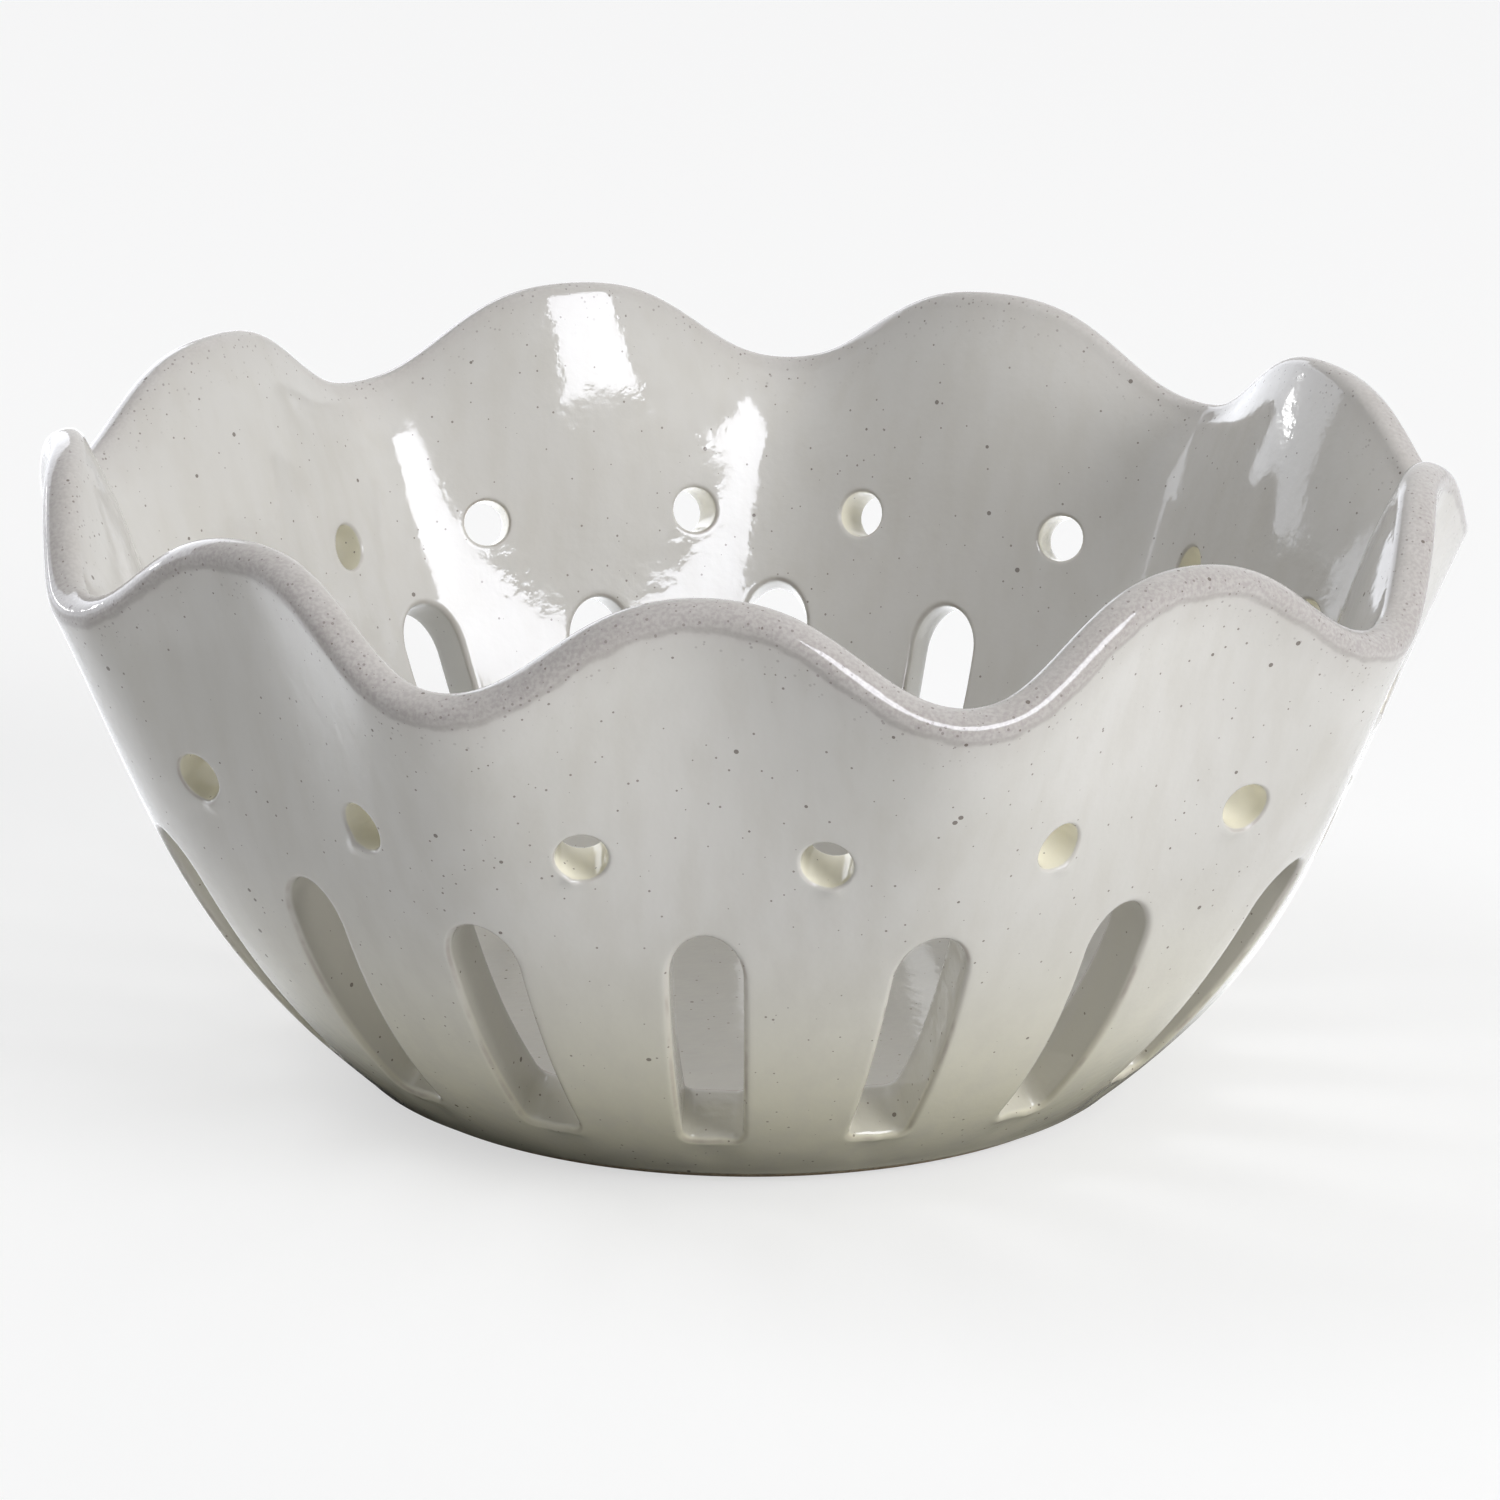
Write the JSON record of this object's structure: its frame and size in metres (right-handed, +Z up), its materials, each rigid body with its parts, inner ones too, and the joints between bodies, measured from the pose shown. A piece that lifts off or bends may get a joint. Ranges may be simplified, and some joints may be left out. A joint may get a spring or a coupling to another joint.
{
  "type": "berry colander bowl",
  "caption": "Round glazed stoneware berry bowl with a scalloped petal edge, drain holes and tall drain slots in its wall, and a bare foot ring.",
  "frame": {"origin": "on the bowl's axis, in the plane of the foot ring that it stands on", "axes": "+Z up along the bowl's axis, out of its mouth; -Y towards the tip of one petal"},
  "size_m": [0.1632, 0.1615, 0.0741],
  "materials": {
    "fired_stoneware": "bare buff clay, matt, fine grain",
    "gloss_glaze": "high gloss pale warm grey glaze with fine iron specks, breaking to purple grey on the rim"
  },
  "bodies": {
    "root": {"stoneware_body": "fired_stoneware", "glaze_coat": "gloss_glaze"}
  },
  "joints": []
}
